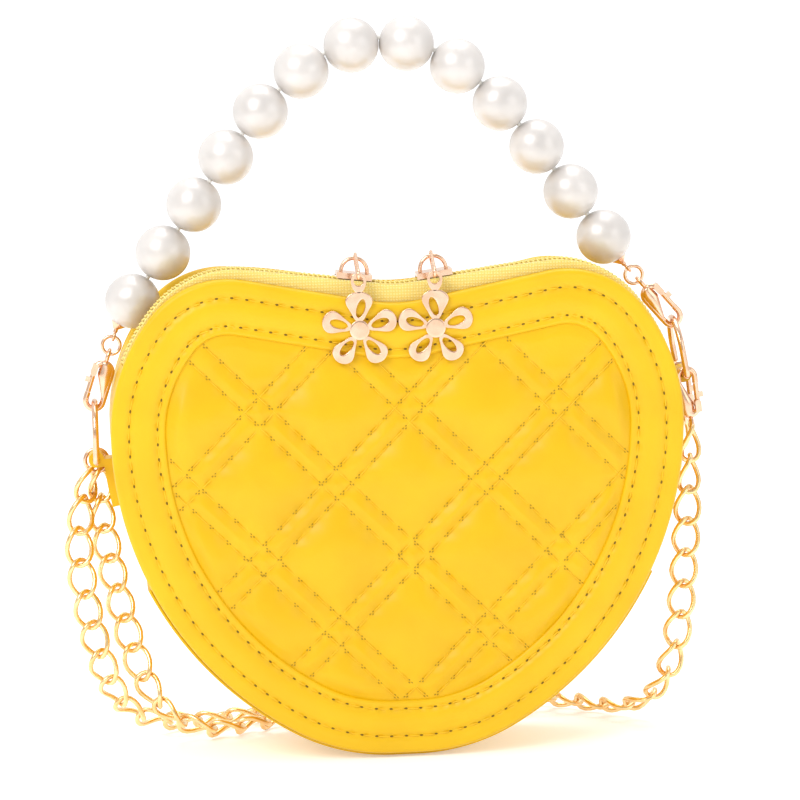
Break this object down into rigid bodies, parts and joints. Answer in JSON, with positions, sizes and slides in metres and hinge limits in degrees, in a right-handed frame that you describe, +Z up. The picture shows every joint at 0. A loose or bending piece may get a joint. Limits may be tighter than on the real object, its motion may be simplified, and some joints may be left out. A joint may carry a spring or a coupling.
{
  "type": "heart shaped purse",
  "caption": "Heart shaped quilted leather purse with a zip top, flower zip pulls, a beaded pearl handle and a detachable chain strap hanging behind it.",
  "frame": {"origin": "middle of the flat base on the surface the purse stands on, half way through the purse's depth", "axes": "+X to the right of someone facing the front, the quilted front faces -Y, +Z up"},
  "size_m": [0.2071, 0.0754, 0.2301],
  "materials": {
    "yellow_leather": "satin",
    "quilted_leather": "satin",
    "stiffener_board": "matte",
    "cream_lining": "matte",
    "zip_tape": "matte",
    "zip_coil": "satin",
    "rose_gold": "polished",
    "chain_gold": "polished",
    "pearl_white": "pearlescent",
    "nylon_cord": "matte"
  },
  "bodies": {
    "purse": {"front_border": "yellow_leather", "back_panel": "yellow_leather", "side_gusset_left": "yellow_leather", "side_gusset_right": "yellow_leather", "base_gusset": "yellow_leather", "top_gusset": "yellow_leather", "side_tab_left": "yellow_leather", "side_tab_right": "yellow_leather", "front_quilt_panel": "quilted_leather", "front_board": "stiffener_board", "back_board": "stiffener_board", "base_board": "stiffener_board", "front_lining": "cream_lining", "back_lining": "cream_lining", "gusset_lining": "cream_lining", "zip_tape_front": "zip_tape", "zip_tape_back": "zip_tape", "zip_coil_front": "zip_coil", "zip_coil_back": "zip_coil", "chain_turn_ring": "rose_gold", "chain_strand_outer": "chain_gold", "chain_strand_inner": "chain_gold", "chain_clasp_front": "rose_gold", "chain_clasp_back": "rose_gold"},
    "zip_slider_left": {"slider_left": "rose_gold"},
    "zip_pull_left": {"pull_link_left": "rose_gold", "pull_flower_left": "rose_gold"},
    "side_ring_left": {"d_ring_left": "rose_gold"},
    "handle_gate_left": {"handle_lever_left": "rose_gold"},
    "zip_slider_right": {"slider_right": "rose_gold"},
    "zip_pull_right": {"pull_link_right": "rose_gold", "pull_flower_right": "rose_gold"},
    "side_ring_right": {"d_ring_right": "rose_gold"},
    "handle_gate_right": {"handle_lever_right": "rose_gold"},
    "pearl_handle": {"handle_cord": "nylon_cord", "pearl_01": "pearl_white", "pearl_02": "pearl_white", "pearl_03": "pearl_white", "pearl_04": "pearl_white", "pearl_05": "pearl_white", "pearl_06": "pearl_white", "pearl_07": "pearl_white", "pearl_08": "pearl_white", "pearl_09": "pearl_white", "pearl_10": "pearl_white", "pearl_11": "pearl_white", "pearl_12": "pearl_white", "pearl_13": "pearl_white", "handle_ring_left": "rose_gold", "handle_ring_right": "rose_gold", "handle_end_left": "rose_gold", "handle_end_right": "rose_gold", "handle_clasp_left": "rose_gold", "handle_clasp_right": "rose_gold"},
    "strap_gate_front": {"chain_lever_front": "rose_gold"},
    "strap_gate_back": {"chain_lever_back": "rose_gold"}
  },
  "joints": [
    {"name": "zip_slide_left", "type": "slide", "parent": "purse", "child": "zip_slider_left", "axis": [-0.9914, 0, 0.1305], "range_m": [0, 0.03]},
    {"name": "pull_swing_left", "type": "hinge", "parent": "zip_slider_left", "child": "zip_pull_left", "pos_m": [-0.01175, -0.0124, 0.15653], "axis": [-1, 0, 0], "range_deg": [0, 120]},
    {"name": "zip_slide_right", "type": "slide", "parent": "purse", "child": "zip_slider_right", "axis": [0.9914, 0, 0.1305], "range_m": [0, 0.03]},
    {"name": "pull_swing_right", "type": "hinge", "parent": "zip_slider_right", "child": "zip_pull_right", "pos_m": [0.01175, -0.0124, 0.15653], "axis": [-1, 0, 0], "range_deg": [0, 120]},
    {"name": "handle_swing", "type": "hinge", "parent": "purse", "child": "pearl_handle", "pos_m": [-0.09332, 0.0055, 0.10983], "axis": [0.9938, 0, 0.1112], "range_deg": [-8, 8]},
    {"name": "side_ring_rock_left", "type": "hinge", "parent": "purse", "child": "side_ring_left", "pos_m": [-0.09357, 0.0055, 0.09406], "axis": [0, 1, 0], "range_deg": [-1.5, 1.5]},
    {"name": "handle_gate_open_left", "type": "hinge", "parent": "pearl_handle", "child": "handle_gate_left", "pos_m": [-0.0935, 0.0055, 0.12124], "axis": [0, -1, 0], "range_deg": [0, 25], "stiffness_Nm_per_rad": 0.01, "springref_deg": -17.19},
    {"name": "side_ring_rock_right", "type": "hinge", "parent": "purse", "child": "side_ring_right", "pos_m": [0.09306, 0.0055, 0.11486], "axis": [0, 1, 0], "range_deg": [-1.5, 1.5]},
    {"name": "handle_gate_open_right", "type": "hinge", "parent": "pearl_handle", "child": "handle_gate_right", "pos_m": [0.08643, 0.0055, 0.14105], "axis": [0, 1, 0], "range_deg": [0, 25], "stiffness_Nm_per_rad": 0.01, "springref_deg": -17.19},
    {"name": "strap_gate_open_front", "type": "hinge", "parent": "purse", "child": "strap_gate_front", "pos_m": [0.09667, -0.0015, 0.10629], "axis": [0, -1, 0], "range_deg": [0, 25], "stiffness_Nm_per_rad": 0.01, "springref_deg": -17.19},
    {"name": "strap_gate_open_back", "type": "hinge", "parent": "purse", "child": "strap_gate_back", "pos_m": [0.09667, 0.0125, 0.10629], "axis": [0, -1, 0], "range_deg": [0, 25], "stiffness_Nm_per_rad": 0.01, "springref_deg": -17.19}
  ]
}
